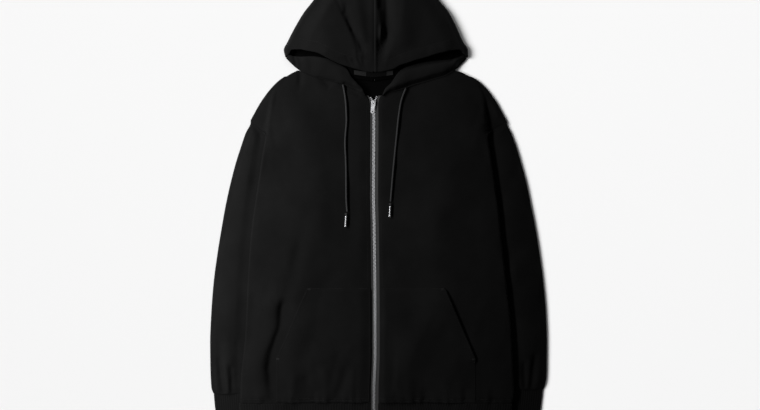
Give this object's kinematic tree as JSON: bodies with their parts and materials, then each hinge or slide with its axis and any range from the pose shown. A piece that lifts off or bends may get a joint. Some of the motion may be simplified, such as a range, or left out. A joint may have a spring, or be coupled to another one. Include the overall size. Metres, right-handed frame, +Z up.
{
  "type": "zip up hoodie",
  "caption": "Heavy fleece hooded top with a full-length front zip, split hand pockets, ribbed cuffs and hem and hood drawcords, laid flat with the sleeves tucked under the body.",
  "frame": {"origin": "the middle of the garment's box, on the surface it lies on", "axes": "+X to the viewer's right across the garment, +Y from the hem to the hood, +Z up from the surface through the front"},
  "size_m": [0.6748, 0.9682, 0.0284],
  "materials": {
    "fleece": "black brushed fleece, matt with a faint nap",
    "rib": "black rib knit",
    "tape": "dark grey woven tape",
    "label": "black satin label, bare",
    "metal": "bright silver metal",
    "cord": "dark grey braided cord"
  },
  "bodies": {
    "garment": {"back_panel": "fleece", "front_left": "fleece", "front_right": "fleece", "pocket_left": "fleece", "pocket_right": "fleece", "sleeve_left": "fleece", "sleeve_right": "fleece", "hood_left": "fleece", "hood_right": "fleece", "hem_rib_back": "rib", "hem_rib_front_left": "rib", "hem_rib_front_right": "rib", "cuff_left": "rib", "cuff_right": "rib", "neck_tape": "tape", "neck_label": "label", "zip_tape_left": "tape", "zip_tape_right": "tape", "zip_teeth_left": "metal", "zip_teeth_right": "metal", "zip_slider": "metal", "zip_box": "metal", "drawcord_left": "cord", "drawcord_right": "cord", "drawcord_knot_left": "cord", "drawcord_knot_right": "cord", "drawcord_tip_left": "metal", "drawcord_tip_right": "metal"},
    "zip_pull": {"zip_pull": "metal"}
  },
  "joints": [
    {"name": "pull_hinge", "type": "hinge", "parent": "garment", "child": "zip_pull", "pos_m": [-0.00987, 0.18615, 0.0094], "axis": [-0.9925, 0.1219, 0], "range_deg": [0, 150]}
  ]
}
